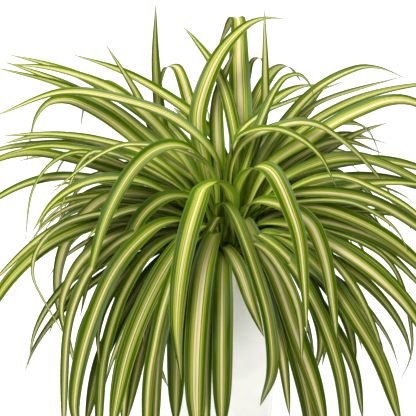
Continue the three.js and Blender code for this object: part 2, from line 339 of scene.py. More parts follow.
@dataclass(frozen=True)
class PottingMix:
    """Damp dark potting mix, with grains of several browns."""

    name: str = "potting_mix"
    dark: Colour = srgb(24, 18, 14)
    brown: Colour = srgb(70, 52, 38)
    roughness: float = 0.92

    def material(self) -> bpy.types.Material:
        """Builds the material."""
        tree = ShaderTree(self.name)
        place = tree.place()
        grains = tree.noise(place, 420.0, 4.0)
        clumps = tree.noise(place, 60.0, 2.0)
        colour = tree.mix((grains * 0.6 + clumps * 0.4).between(0.42, 0.66), self.dark, self.brown)
        return tree.dress(
            Base_Color=colour,
            Roughness=self.roughness - clumps * 0.12,
            Normal=tree.bump(grains, 0.8, 0.0012),
            Specular_IOR_Level=0.3,
        )


@dataclass(frozen=True)
class WhiteGlaze:
    """Smooth white glaze over earthenware, with the faint unevenness of a dipped pot."""

    name: str = "white_glaze"
    glaze: Colour = srgb(243, 242, 239)
    thin_glaze: Colour = srgb(237, 236, 232)
    roughness: float = 0.22

    def material(self) -> bpy.types.Material:
        """Builds the material."""
        tree = ShaderTree(self.name)
        place = tree.place()
        pooled = tree.noise(place, 16.0, 3.0)
        orange_peel = tree.noise(place, 260.0, 1.0)
        return tree.dress(
            Base_Color=tree.mix(pooled.between(0.35, 0.65), self.glaze, self.thin_glaze),
            Roughness=self.roughness + (pooled - 0.5) * 0.12,
            Normal=tree.bump(orange_peel, 0.25, 0.0003),
            Coat_Weight=0.4,
            Coat_Roughness=0.1,
        )


@dataclass(frozen=True)
class PaleFloor:
    """The plain white floor of the studio."""

    name: str = "pale_floor"
    paint: Colour = srgb(240, 240, 240)
    glow: float = 0.62

    def material(self) -> bpy.types.Material:
        """Builds the material."""
        tree = ShaderTree(self.name)
        return tree.dress(
            Base_Color=self.paint,
            Roughness=0.9,
            Specular_IOR_Level=0.1,
            Emission_Color=self.paint,
            Emission_Strength=self.glow,
        )


GROWN_PLACES = (0.0, 0.21, 0.235, 0.265, 0.29, 0.4, 0.425, 0.53, 0.555, 0.6, 1.0)
YOUNG_PLACES = (0.0, 0.24, 0.27, 0.3, 0.33, 0.46, 0.49, 0.64, 0.67, 0.74, 1.0)
LEAF_UPPER = VariegatedBlade(
    name="leaf_upper",
    grown=Bands.screen(
        GROWN_PLACES, (216, 204, 152), (184, 183, 78), (134, 154, 12), (92, 116, 0), (66, 95, 0)
    ),
    # The young colours are brightened beyond the real lime as painted light shining through the leaf's base.
    young_lit=Bands.screen(
        YOUNG_PLACES, (218, 215, 116), (199, 205, 72), (157, 181, 16), (122, 160, 0), (106, 152, 0)
    ),
)
LEAF_UNDER = VariegatedBlade(
    name="leaf_underside",
    grown=Bands.screen(
        GROWN_PLACES, (204, 196, 124), (180, 180, 84), (136, 150, 36), (98, 122, 18), (76, 104, 14)
    ),
    young_lit=Bands.screen(
        YOUNG_PLACES, (204, 208, 84), (190, 202, 52), (158, 184, 18), (124, 158, 4), (110, 150, 2)
    ),
    # A weaker painted sheen on the underside.
    painted_sheen=0.2,
    roughness=0.5,
)
SHEATH_BANDS = Bands.screen(
    YOUNG_PLACES, (160, 160, 76), (150, 154, 62), (124, 140, 34), (98, 122, 20), (88, 116, 16)
)
SHEATH = VariegatedBlade(name="leaf_sheath", grown=SHEATH_BANDS, young_lit=SHEATH_BANDS, roughness=0.5)


class Slot(Enum):
    """The record's finishes."""

    GLAZE = "glaze"
    SOIL = "soil"
    SHEATH = "sheath"
    LEAF = "leaf"


def stand(name: str, data: bpy.types.ID) -> bpy.types.Object:
    """Puts a mesh, a light or a camera into the scene as an object."""
    thing = bpy.data.objects.new(name, data)
    bpy.context.scene.collection.objects.link(thing)
    return thing


def mesh_of(name: str, shape: BMesh) -> bpy.types.Mesh:
    """Turns a finished shape into a mesh."""
    mesh = bpy.data.meshes.new(name)
    shape.to_mesh(mesh)
    shape.free()
    return mesh


def finish_piece(
    name: str, shape: BMesh, finishes: Sequence[bpy.types.Material], nodes: Sequence[str] = ()
) -> None:
    """Makes a piece of the plant from a finished shape.

    Args:
        name: the piece's name.
        shape: its shape in metres, where it stands.
        finishes: its materials, in the order of its faces' material numbers.
        nodes: the CAD nodes that it stands for.
    """
    for face in shape.faces:
        face.smooth = True
    mesh = mesh_of(name, shape)
    mesh.set_sharp_from_angle(angle=SHARP_FROM)
    piece = stand(name, mesh)
    for finish in finishes:
        mesh.materials.append(finish)
    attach(piece, BODY)
    if nodes:
        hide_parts(*nodes)
    mesh.calc_loop_triangles()
    log.info("%s: %d triangles", name, len(mesh.loop_triangles))


@dataclass
class Station:
    """One place along a blade: its rib and its two edges, in metres."""

    rib: Vector
    left: Vector
    right: Vector


def spline(points: Sequence[Vector], knots: Sequence[float], place: float) -> Vector:
    """A smooth curve through points.

    Args:
        points: the points it passes through.
        knots: how far along the curve each point lies.
        place: where to read it.

    Returns:
        The point there.
    """
    last = len(points) - 1
    after = next((i for i, knot in enumerate(knots) if knot > place), last)
    span = max(0, min(last, after) - 1)
    width = knots[span + 1] - knots[span]

    def slope(index: int) -> Vector:
        """How fast the curve moves at a point."""
        low, high = max(0, index - 1), min(last, index + 1)
        return (points[high] - points[low]) / (knots[high] - knots[low])

    t = (place - knots[span]) / width
    return (
        points[span] * (2 * t**3 - 3 * t**2 + 1)
        + slope(span) * (width * (t**3 - 2 * t**2 + t))
        + points[span + 1] * (3 * t**2 - 2 * t**3)
        + slope(span + 1) * (width * (t**3 - t**2))
    )


def around(bearing: float, reach: float, height: float) -> Vector:
    """A point by its bearing in degrees, and its distance from the axis and height over the soil in mm."""
    angle = math.radians(bearing)
    return Vector((reach * math.cos(angle), reach * math.sin(angle), SOIL_LEVEL + height)) * MM


@dataclass
class Course:
    """The way a blade takes, as the stations it passes from root to tip."""

    stations: list[Station]

    @classmethod
    def of_node(cls, node: str) -> "Course":
        """Reads the course of a leaf from its CAD node.

        The node is a chain of four-cornered rings that ends in one point. From that point each ring is
        the next set of neighbours. Its two corners furthest apart are the blade's edges.

        Args:
            node: the node's name.

        Returns:
            Its course.
        """
        shape = bmesh.new()
        shape.from_mesh(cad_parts[node].data)
        bmesh.ops.remove_doubles(shape, verts=shape.verts[:], dist=MERGE_WITHIN)
        chains = [cls.rings_from(vertex) for vertex in shape.verts if len(vertex.link_edges) == 4]
        rings = max(
            (chain for chain in chains if all(len(ring) == 4 for ring in chain[1:])),
            key=lambda chain: (chain[0][0].co - Vector((0, 0, SOIL_LEVEL * MM))).length,
        )
        tip = rings[0][0].co.copy()
        stations = [Station(tip, tip, tip)]
        for ring in rings[1:]:
            pairs = [(a, b) for index, a in enumerate(ring) for b in ring[index + 1 :]]
            edges = max(pairs, key=lambda pair: (pair[0].co - pair[1].co).length)
            rib = sum((corner.co for corner in ring if corner not in edges), Vector()) / 2
            aside = stations[-1].right - stations[-1].left
            near, far = sorted((corner.co.copy() for corner in edges), key=aside.dot)
            stations.append(Station(rib, near, far))
        shape.free()
        stations.reverse()
        course = cls(stations)
        if course.is_mirrored():
            for station in stations:
                station.left, station.right = station.right, station.left
        return course

    @staticmethod
    def rings_from(vertex: BMVert) -> list[list[BMVert]]:
        """The sets of vertices one, two and more edges away from a vertex, after the vertex itself."""
        seen = {vertex}
        rings = [[vertex]]
        while True:
            around_last = {edge.other_vert(v) for v in rings[-1] for edge in v.link_edges}
            ring = sorted(around_last - seen, key=lambda v: v.index)
            if not ring:
                return rings
            seen.update(ring)
            rings.append(ring)

    def is_mirrored(self) -> bool:
        """Whether the blade's left and right edges are the wrong way round for its upper face."""
        middle = len(self.stations) // 2
        station = self.stations[middle]
        heading = self.stations[middle + 1].rib - station.rib
        raised = (station.left + station.right) / 2 - station.rib
        return (station.right - station.left).cross(heading).dot(raised) < 0

    def at(self, along: float) -> Station:
        """The station at a share of the blade's length."""
        lines = zip(*((station.rib, station.left, station.right) for station in self.stations), strict=True)
        knots = range(len(self.stations))
        return Station(*(spline(line, knots, along * knots[-1]) for line in lines))

    def strip(self, start: float, steps: int = 24) -> BVHTree:
        """The blade's surface from a share of its length to its tip, for measuring against others."""
        corners, faces = [], []
        for step in range(steps + 1):
            station = self.at(start + (1 - start) * step / steps)
            corners += [station.left, station.rib, station.right]
            if step:
                base = step * 3
                faces += [(base - 3 + side, base - 2 + side, base + 1 + side, base + side) for side in (0, 1)]
        return BVHTree.FromPolygons(corners, faces)

    def points(self) -> list[Vector]:
        """The ribs and the edges of all its stations."""
        return [point for place in self.stations for point in (place.rib, place.left, place.right)]


@dataclass(frozen=True)
class Growth:
    """How a leaf grows from the crown: its width, its bearing and what its rib passes, in mm and degrees.

    A point on the path is a distance from the pot's axis, a height over the soil and, where the leaf turns
    aside, the bearing there. The root, where it is set, is a bearing and a distance. The blade is slim and
    folded at the root, widest before its middle, and tapers to the tip. Its play is how far it may turn,
    stretch and rise to find room.
    """

    width: float
    bearing: float
    path: tuple[tuple[float, ...], ...]
    root: Span | None = None
    rings: int = 16
    base_share: float = 0.36
    widest_at: float = 0.42
    taper_power: float = 2.2
    base_fold: float = 38.0
    blade_fold: float = 14.0
    frontward_roll: float = 24.0
    root_spread: float = 44.0
    crown_radius: float = 46.0
    crown_height: float = 16.0
    twist: float = 0.0
    samples: int = 160
    play: tuple[float, float, float] = (7.0, 0.07, 16.0)

    def share(self, along: float) -> float:
        """The blade's width at a share of its length, as a share of its widest."""
        if along < self.widest_at:
            return self.base_share + (1 - self.base_share) * math.sin(math.pi / 2 * along / self.widest_at)
        return 1 - ((along - self.widest_at) / (1 - self.widest_at)) ** self.taper_power

    def points(self) -> list[Vector]:
        """The root and the points that the rib passes."""
        reach, height = self.path[0][:2]
        steepness = math.atan2(height, abs(reach)) / (math.pi / 2)
        bearing, distance = self.root or (self.bearing, self.root_spread * (1 - steepness))
        dome = self.crown_height * (1 - (distance / self.crown_radius) ** 2)
        passed = [around(stop[2] if len(stop) > 2 else self.bearing, *stop[:2]) for stop in self.path]
        return [around(bearing, distance, dome + 1), *passed]

    def shifted(self, chance: random.Random, size: float) -> "Growth":
        """This leaf, turned, stretched and lifted a little.

        Args:
            chance: the seeded source of choices.
            size: how far it may move, from 0 to 1.

        Returns:
            The moved leaf.
        """
        turn, stretch, lift = (size * chance.uniform(-span, span) for span in self.play)
        path = tuple(
            (reach * (1 + stretch), height + lift, (rest[0] if rest else self.bearing) + turn)
            for reach, height, *rest in self.path
        )
        return replace(self, path=path)

    def course(self) -> Course:
        """The stations of the leaf, evenly spaced along its rib."""
        points = self.points()
        knots = [0.0]
        for start, end in zip(points, points[1:], strict=False):
            knots.append(knots[-1] + math.sqrt((end - start).length))
        places = [knots[-1] * step / self.samples for step in range(self.samples + 1)]
        samples = [spline(points, knots, place) for place in places]
        lengths = [0.0]
        for start, end in zip(samples, samples[1:], strict=False):
            lengths.append(lengths[-1] + (end - start).length)
        ribs = []
        for ring in range(self.rings):
            wanted = lengths[-1] * ring / (self.rings - 1)
            after = next((i for i, length in enumerate(lengths) if length >= wanted), len(lengths) - 1)
            before = max(0, after - 1)
            span = lengths[after] - lengths[before]
            share = (wanted - lengths[before]) / span if span else 0.0
            ribs.append(samples[before].lerp(samples[after], share))
        return Course(self.stations(ribs))

    def stations(self, ribs: Sequence[Vector]) -> list[Station]:
        """Gives each place on the rib its two edges.

        Args:
            ribs: the places, from root to tip.

        Returns:
            The stations.
        """
        outward = math.radians(self.bearing)
        side = Vector((math.sin(outward), -math.cos(outward), 0))
        stations = []
        for index, rib in enumerate(ribs[:-1]):
            along = index / (len(ribs) - 1)
            heading = (ribs[index + 1] - ribs[max(0, index - 1)]).normalized()
            side = (side - heading * side.dot(heading)).normalized()
            eased = min(1, along / self.widest_at)
            roll = math.radians((self.frontward_roll * math.cos(outward) + self.twist * along) * eased)
            rolled = Matrix.Rotation(roll, 3, heading) @ side
            face = rolled.cross(heading).normalized()
            half = self.width / 2 * MM * self.share(along)
            fold = math.radians(self.base_fold + (self.blade_fold - self.base_fold) * eased)
            across = rolled * (half * math.cos(fold))
            raised = face * (half * math.sin(fold))
            stations.append(Station(rib, rib - across + raised, rib + across + raised))
        stations.append(Station(ribs[-1], ribs[-1], ribs[-1]))
        return stations


@dataclass
class BladeMaker:
    """Turns a course into the mesh of one leaf: a thin channelled blade with a soft keel and wavy edges."""

    steps_across: int = 8
    steps_along: int = 44
    thickness: float = 0.45 * MM
    keel: float = 1.5
    ripple: float = 0.5 * MM
    ripples: float = 3.5
    spread: float = 1.18
    clasp: float = 0.5
    clasp_to: float = 0.16
    sink: float = 9.0 * MM
    sunk_to: float = 0.09
    full_from: float = 0.42
    full_to: float = 2.2
    full_power: float = 2.5

    def add(self, shape: BMesh, course: Course, look: Sequence[float], fullness: float = 0.0) -> None:
        """Adds one leaf to a shape.

        Args:
            shape: where to add it.
            course: the way it takes.
            look: its tone, which carries painted shade, the seed of its stripes and how withered its tip is,
                each from 0 to 1.
            fullness: how much of its width it keeps towards its tip, from 0 to 1.
        """
        leaf = bmesh.new()
        leaf.loops.layers.uv.new(BLADE_MAP)
        looks = leaf.verts.layers.float_vector.new(LOOK_LAYER)
        cells = {"x_segments": self.steps_across, "y_segments": self.steps_along}
        bmesh.ops.create_grid(leaf, size=0.5, calc_uvs=True, **cells)
        stations = [course.at(step / self.steps_along) for step in range(self.steps_along + 1)]
        for vertex in leaf.verts:
            along = vertex.co.y + 0.5
            station = stations[round(along * self.steps_along)]
            vertex.co = self.place(station, 2 * vertex.co.x, along, look[1], fullness)
        bmesh.ops.remove_doubles(leaf, verts=leaf.verts[:], dist=MERGE_WITHIN)
        under = leaf.faces[:]
        grown = bmesh.ops.extrude_face_region(leaf, geom=under, use_keep_orig=True)["geom"]
        leaf.normal_update()
        for vertex in (part for part in grown if isinstance(part, BMVert)):
            vertex.co += vertex.normal * self.thickness
        bmesh.ops.recalc_face_normals(leaf, faces=leaf.faces[:])
        for face in under:
            face.material_index = 1
        for vertex in leaf.verts:
            vertex[looks] = Vector(look)
        mesh = mesh_of("leaf", leaf)
        shape.from_mesh(mesh)
        bpy.data.meshes.remove(mesh)

    def place(self, station: Station, across: float, along: float, seed: float, fullness: float) -> Vector:
        """Where a point of the blade lies.

        Args:
            station: the station it belongs to.
            across: -1 at the left edge, 0 at the rib and 1 at the right edge.
            along: the share of the leaf's length.
            seed: the leaf's own seed, which sets where its edges wave.
            fullness: how much of its width it keeps towards its tip, from 0 to 1.

        Returns:
            The point.
        """
        clasp = min(1.0, along / self.clasp_to)
        faded = max(0.0, along - self.full_from) / (1 - self.full_from)
        fuller = 1 + fullness * (self.full_to - 1) * faded**self.full_power
        clasped = self.clasp + (1 - self.clasp) * clasp
        aside = (station.right - station.left) / 2 * self.spread * clasped * fuller
        raised = (station.left + station.right) / 2 - station.rib
        turns = self.ripples * along + seed * 9 + 0.25 * across
        wave = math.sin(math.tau * turns) * abs(across) ** 3
        lift = raised.normalized() * (wave * self.ripple * math.sin(math.pi * along))
        sunk = Vector((0, 0, self.sink * (1 - min(1.0, along / self.sunk_to)) ** 2))
        return station.rib + aside * across + raised * abs(across) ** self.keel + lift - sunk


@dataclass(frozen=True)
class ArchRange:
    """A sort of leaf that fills the plant where the drawn leaves leave room, as ranges to choose from."""

    name: str
    count: int
    bearing: Span
    length: Span
    start_slope: Span
    end_slope: Span
    width: Span
    root: Span = (6, 40)
    bend: Span = (0.8, 1.4)
    swing: float = 14.0
    twist: float = 25.0
    foot: float = 14.0
    stops: int = 7
    pieces_to_stop: int = 6

    def grow(self, chance: random.Random) -> Growth:
        """Chooses one leaf of this sort.

        Args:
            chance: the seeded source of choices.

        Returns:
            The leaf.
        """
        bearing = chance.uniform(*self.bearing)
        length = chance.uniform(*self.length)
        start = math.radians(chance.uniform(*self.start_slope))
        end = math.radians(chance.uniform(*self.end_slope))
        bend = chance.uniform(*self.bend)
        swing = chance.uniform(-self.swing, self.swing)
        distance = chance.uniform(*self.root)
        reach, height = distance, self.foot
        path = []
        pieces = self.stops * self.pieces_to_stop
        for piece in range(1, pieces + 1):
            share = piece / pieces
            slope = start + (end - start) * share**bend
            reach += length / pieces * math.cos(slope)
            height += length / pieces * math.sin(slope)
            if piece % self.pieces_to_stop == 0:
                path.append((reach, height, bearing + swing * share**2))
        return Growth(
            width=chance.uniform(*self.width),
            bearing=bearing,
            path=tuple(path),
            root=(bearing, distance),
            twist=chance.uniform(-self.twist, self.twist),
        )


# The drawn leaves that the CAD leaves out, in the order that they find room: name, width, bearing, path and,
# where it is set, root.
DRAWN_LEAVES = (
    (
        "front_blade_11", 24, 290,
        (
            (60, 26, 306.4), (85, 14, 302.5), (113, -5, 300.2), (148, -31, 298.4),
            (174, -58, 297.5), (209, -113, 297.4), (224, -199, 299.2),
        ),
    ),
    (
        "upright_blade_16", 9, 80,
        ((82, 82, 78), (103, 159, 75), (115, 208, 73), (122, 230, 70), (125, 227, 67), (128, 185, 64)),
    ),
    (
        "upright_blade_18", 12, 40,
        ((21, 111, 0), (51, 190, 23), (72, 226, 25), (89, 236, 23), (104, 228, 20), (112, 205, 18)),
    ),
    ("upright_blade_13", 9, 30, ((15, 134), (51, 167), (97, 178), (190, 194)), (30, 6)),
    ("upright_blade_14", 9, 25, ((64, 127), (114, 172), (160, 188), (262, 202))),
    ("upright_blade_15", 9, 30, ((99, 120), (190, 144), (235, 114), (250, 80))),
    ("right_blade_16", 11, 345, ((60, 70), (135, 113), (203, 95), (243, 72), (300, 20))),
    ("right_blade_17", 13, 338, ((60, 44), (126, 54), (202, 36), (249, 2), (290, -40))),
    ("right_blade_18", 12, 320, ((60, 40), (141, 46), (196, 11), (235, -47), (245, -90))),
    ("right_blade_19", 13, 295, ((50, 36), (120, 45), (185, 5), (200, -66))),
    ("front_blade_7", 12, 250, ((20, 54), (71, 43), (110, 23))),
    ("front_blade_8", 14, 292, ((84, 22), (166, -44), (203, -132))),
    ("left_blade_21", 12, 195, ((45, 54), (165, 67), (235, 43), (310, -20))),
    ("left_blade_22", 11, 238, ((30, 24), (81, 15), (126, 0), (148, -27), (162, -68), (134, -136))),
    ("left_blade_23", 17, 176, ((37, 82), (82, 108), (138, 139), (195, 157), (246, 159), (300, 146))),
    ("left_blade_24", 11, 172, ((94, 103), (158, 130), (215, 136), (290, 125), (325, 105))),
    ("left_blade_25", 15, 180, ((36, 55), (81, 85), (134, 106), (231, 133), (282, 125), (325, 103))),
    ("left_blade_26", 9, 200, ((12, 101), (52, 140), (122, 159), (160, 150), (195, 128), (228, 103))),
    ("left_blade_27", 16, 165, ((40, 82), (85, 143), (137, 185), (183, 204), (237, 215), (300, 217))),
    ("left_blade_28", 16, 150, ((45, 90), (95, 148), (157, 182), (220, 203), (277, 212), (340, 217))),
    ("left_blade_29", 14, 185, ((45, 72), (94, 120), (161, 139), (222, 148), (278, 136))),
    ("left_blade_30", 12, 178, ((45, 80), (94, 125), (156, 146), (219, 154), (282, 151))),
    ("left_blade_31", 8, 188, ((50, 80), (119, 123), (168, 145), (204, 139), (236, 101), (251, 25))),
    ("left_blade_32", 9, 192, ((50, 76), (107, 119), (150, 140), (178, 137), (208, 80), (215, 51))),
    ("left_blade_33", 8, 205, ((70, 66), (154, 89), (218, 81), (247, 47), (246, 14), (210, -75))),
    ("left_blade_34", 13, 216, ((60, 48), (135, 58), (191, 34), (220, -6), (236, -60), (248, -200))),
    ("left_blade_35", 14, 225, ((60, 42), (125, 40), (170, 4), (198, -45), (214, -99), (225, -205))),
    ("left_blade_36", 13, 238, ((60, 34), (117, 27), (159, -15), (182, -58), (199, -105), (208, -205))),
    ("front_blade_9", 13, 248, ((60, 30), (120, 19), (162, -21), (188, -74), (204, -200))),
    ("front_blade_10", 12, 262, ((60, 24), (113, 6), (146, -37), (163, -82), (176, -205))),
    ("right_blade_20", 16, 312, ((55, 34), (112, 34), (157, 4), (191, -37), (219, -96), (236, -200))),
    ("right_blade_21", 14, 313, ((55, 40), (113, 31), (148, 3), (171, -27), (181, -63), (169, -120))),
    ("right_blade_22", 8, 335, ((70, 50), (143, 51), (207, 33), (237, -8), (254, -87), (243, -133))),
    ("right_blade_23", 9, 340, ((50, 62), (99, 83), (156, 91), (194, 80), (222, 61), (236, 36))),
    ("upright_blade_17", 16, 118, ((30, 80), (81, 113), (125, 131), (171, 141), (219, 146))),
    ("upright_blade_19", 11, 20, ((60, 105), (131, 149), (159, 155), (198, 144), (216, 112), (221, 100))),
)


@dataclass
class Foliage:
    """All the leaves: those of the CAD, the rest of the drawn ones and seeded ones that fill the thicket."""

    maker: BladeMaker = field(default_factory=BladeMaker)
    fill_maker: BladeMaker = field(default_factory=lambda: BladeMaker(steps_across=6, steps_along=30))
    seed: int = 20
    clear_from: float = 0.24
    drawn_clear_from: tuple[float, ...] = (0.24, 0.45)
    box_margin: float = 0.006
    tries: int = 60
    drawn_tries: int = 180
    # The tone: random, plus painted light and shade by height, with low leaves darker and high ones lighter.
    middle_tone: float = 0.56
    painted_shade_rise: float = 230.0
    tone_spread: float = 0.15
    full_below: float = 150.0
    full_beyond: float = 270.0
    full_under: float = 470.0
    full_span: float = 30.0
    withers: tuple[float, ...] = (0.0, 0.15, 0.3, 0.9)
    rim_gap: float = 4.0
    over_rim: float = 3.0
    rings_at_root: int = 3
    drawn: tuple[tuple, ...] = DRAWN_LEAVES
    filling: tuple[ArchRange, ...] = (
        ArchRange("back_blades", 30, (20, 160), (170, 330), (55, 84), (-70, 10), (11, 19)),
        ArchRange("inner_blades_left", 20, (150, 215), (120, 300), (35, 70), (-75, -20), (9, 15)),
        ArchRange("inner_blades_right", 20, (-35, 30), (120, 300), (35, 70), (-75, -20), (9, 15)),
        ArchRange("low_blades_left", 8, (200, 250), (200, 340), (12, 45), (-90, -68), (10, 16)),
        ArchRange("low_blades_right", 8, (292, 330), (200, 330), (10, 36), (-90, -78), (10, 16)),
        ArchRange("low_blades_back", 34, (8, 172), (200, 320), (30, 62), (-90, -70), (11, 17)),
        ArchRange("heart_blades", 24, (10, 170), (100, 190), (55, 86), (-10, 60), (8, 13), (2, 34)),
    )

    def build(self) -> None:
        """Builds and dresses every leaf, then logs how many there are."""
        self.chance = random.Random(self.seed)
        self.finishes = [LEAF_UPPER.material(), LEAF_UNDER.material()]
        self.grown: list[BVHTree] = []
        self.build_from_nodes()
        self.build_drawn()
        for sort in self.filling:
            self.build_filling(sort)
        log.info("leaves in all: %d", len(self.grown))

    def look(self, course: Course) -> tuple[float, float, float]:
        """Chooses how a leaf looks: the higher it grows, the lighter its green, which is painted light and
        shade.

        Args:
            course: the way it takes.

        Returns:
            Its tone, random and with painted shade by height, the seed of its stripes and how withered its
            tip is.
        """
        heights = [station.rib.z / MM - SOIL_LEVEL for station in course.stations]
        light = self.middle_tone + sum(heights) / len(heights) / self.painted_shade_rise
        tone = light + self.chance.uniform(-self.tone_spread, self.tone_spread)
        wither = self.chance.choice(self.withers)
        return (min(1.0, max(0.0, tone)), self.chance.random(), wither)

    def fullness(self, course: Course) -> float:
        """Chooses how full a leaf's outer part is: the lowest and the furthest stay broad to near the tip.

        Args:
            course: the way it takes.

        Returns:
            Its fullness, from 0 to 1.
        """
        tip = course.stations[-1].rib / MM
        hanging = self.full_below - tip.z
        reaching = min(abs(tip.x) - self.full_beyond, self.full_under - tip.z)
        return min(1.0, max(0.0, hanging, reaching) / self.full_span)

    def build_from_nodes(self) -> None:
        """Builds a blade in place of each leaf of the CAD."""
        for node in sorted(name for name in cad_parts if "_leaf_" in name):
            self.build_blade(node.replace("leaf", "blade"), Course.of_node(node), [node])

    def build_blade(self, name: str, course: Course, nodes: Sequence[str] = ()) -> None:
        """Builds one leaf as a piece of its own.

        Args:
            name: the piece's name.
            course: the way it takes.
            nodes: the CAD node that it stands for, if there is one.
        """
        shape = bmesh.new()
        self.maker.add(shape, course, self.look(course), self.fullness(course))
        self.grown.append(course.strip(self.clear_from))
        finish_piece(name, shape, self.finishes, nodes)

    def build_drawn(self) -> None:
        """Builds the drawn leaves that the CAD leaves out, each shifted a little to where it lies clear."""
        for name, *growth in self.drawn:
            course = self.settled(Growth(*growth))
            if course is None:
                log.info("%s: no room", name)
            else:
                self.build_blade(name, course)

    def settled(self, growth: Growth) -> Course | None:
        """Shifts a leaf by as little as it takes to lie clear of the leaves grown so far.

        Args:
            growth: the leaf.

        Returns:
            The course it takes, or None if it finds no room.
        """
        for clear_from in self.drawn_clear_from:
            for attempt in range(self.drawn_tries):
                course = growth.shifted(self.chance, attempt / self.drawn_tries).course()
                strip = course.strip(clear_from)
                if not any(strip.overlap(other) for other in self.grown):
                    return course
        return None

    def build_filling(self, sort: ArchRange) -> None:
        """Builds the leaves of one sort where they pass through no other leaf.

        Args:
            sort: the sort of leaf.
        """
        shape = bmesh.new()
        placed = 0
        for _ in range(sort.count * self.tries):
            course = sort.grow(self.chance).course()
            strip = course.strip(self.clear_from)
            if self.fits(course) and not any(strip.overlap(other) for other in self.grown):
                self.fill_maker.add(shape, course, self.look(course))
                self.grown.append(strip)
                placed += 1
            if placed == sort.count:
                break
        log.info("%s: %d leaves", sort.name, placed)
        finish_piece(sort.name, shape, self.finishes)

    def fits(self, course: Course) -> bool:
        """Whether a course keeps inside the plant's box and off the pot."""
        inside = all(
            low + self.box_margin < number < high - self.box_margin
            for point in course.points()
            for low, number, high in zip(cad_box[0], point, cad_box[1], strict=True)
        )
        rim = (Planter.rim_radius + self.rim_gap) * MM
        over = (Planter.height + self.over_rim) * MM
        return inside and all(
            station.rib.z > over or math.hypot(station.rib.x, station.rib.y) > rim
            for station in course.stations[self.rings_at_root :]
        )


@dataclass
class Crown:
    """The short rootstock that the leaves grow from: a low dome wrapped in pale leaf sheaths. In mm."""

    radius: float = 45.0
    height: float = 15.0
    seed: int = 4
    sheaths: int = 18
    lump: float = 1.2
    lump_scale: float = 90.0
    cut_within: float = 1e-4
    dome_look: tuple[float, float, float] = (0.4, 0.3, 0.0)

    def build(self) -> None:
        """Builds and dresses the crown."""
        chance = random.Random(self.seed)
        shape = bmesh.new()
        shape.loops.layers.uv.new(BLADE_MAP)
        looks = shape.verts.layers.float_vector.new(LOOK_LAYER)
        self.add_dome(shape)
        for vertex in shape.verts:
            vertex[looks] = Vector(self.dome_look)
        maker = BladeMaker(steps_across=8, steps_along=14, thickness=0.9 * MM, ripple=0.2 * MM)
        for index in range(self.sheaths):
            maker.add(shape, self.sheath(index, chance), (chance.uniform(0.5, 1.0), chance.random(), 1.0))
        finish = SHEATH.material()
        finish_piece("crown_sheaths", shape, [finish, finish], ["crown"])

    def add_dome(self, shape: BMesh) -> None:
        """Adds the lumpy dome the sheaths wrap.

        Args:
            shape: where to add it.
        """
        bmesh.ops.create_uvsphere(shape, u_segments=48, v_segments=24, radius=1.0)
        ball = [*shape.verts, *shape.edges, *shape.faces]
        bmesh.ops.bisect_plane(shape, geom=ball, dist=self.cut_within, plane_no=(0, 0, 1), clear_inner=True)
        bmesh.ops.contextual_create(shape, geom=[edge for edge in shape.edges if edge.is_boundary])
        scale = Vector((self.radius, self.radius, self.height)) * MM
        bmesh.ops.scale(shape, vec=scale, verts=shape.verts[:])
        for vertex in shape.verts:
            if vertex.co.z > 1e-5:
                vertex.co *= 1 + self.lump / self.radius * noise.noise(vertex.co * self.lump_scale)
        bmesh.ops.translate(shape, vec=Vector((0, 0, (SOIL_LEVEL + 0.4) * MM)), verts=shape.verts[:])
        bmesh.ops.recalc_face_normals(shape, faces=shape.faces[:])

    def sheath(self, index: int, chance: random.Random) -> Course:
        """The course of one short sheath.

        Args:
            index: its number, which sets its bearing and its distance out.
            chance: the seeded source of choices.

        Returns:
            The course.
        """
        bearing = index * 137.5 + chance.uniform(-8, 8)
        out = self.radius * math.sqrt((index + 0.5) / self.sheaths) * 0.7
        lean = 0.25 + 0.6 * out / self.radius
        tall = chance.uniform(8, 15)
        return Growth(
            width=chance.uniform(13, 18),
            bearing=bearing,
            path=((out + tall * lean * 0.3, 8 + tall * 0.5), (out + tall * lean, 8 + tall)),
            root=(bearing, out),
            base_share=0.8,
            base_fold=48,
            blade_fold=36,
            frontward_roll=0,
        ).course()


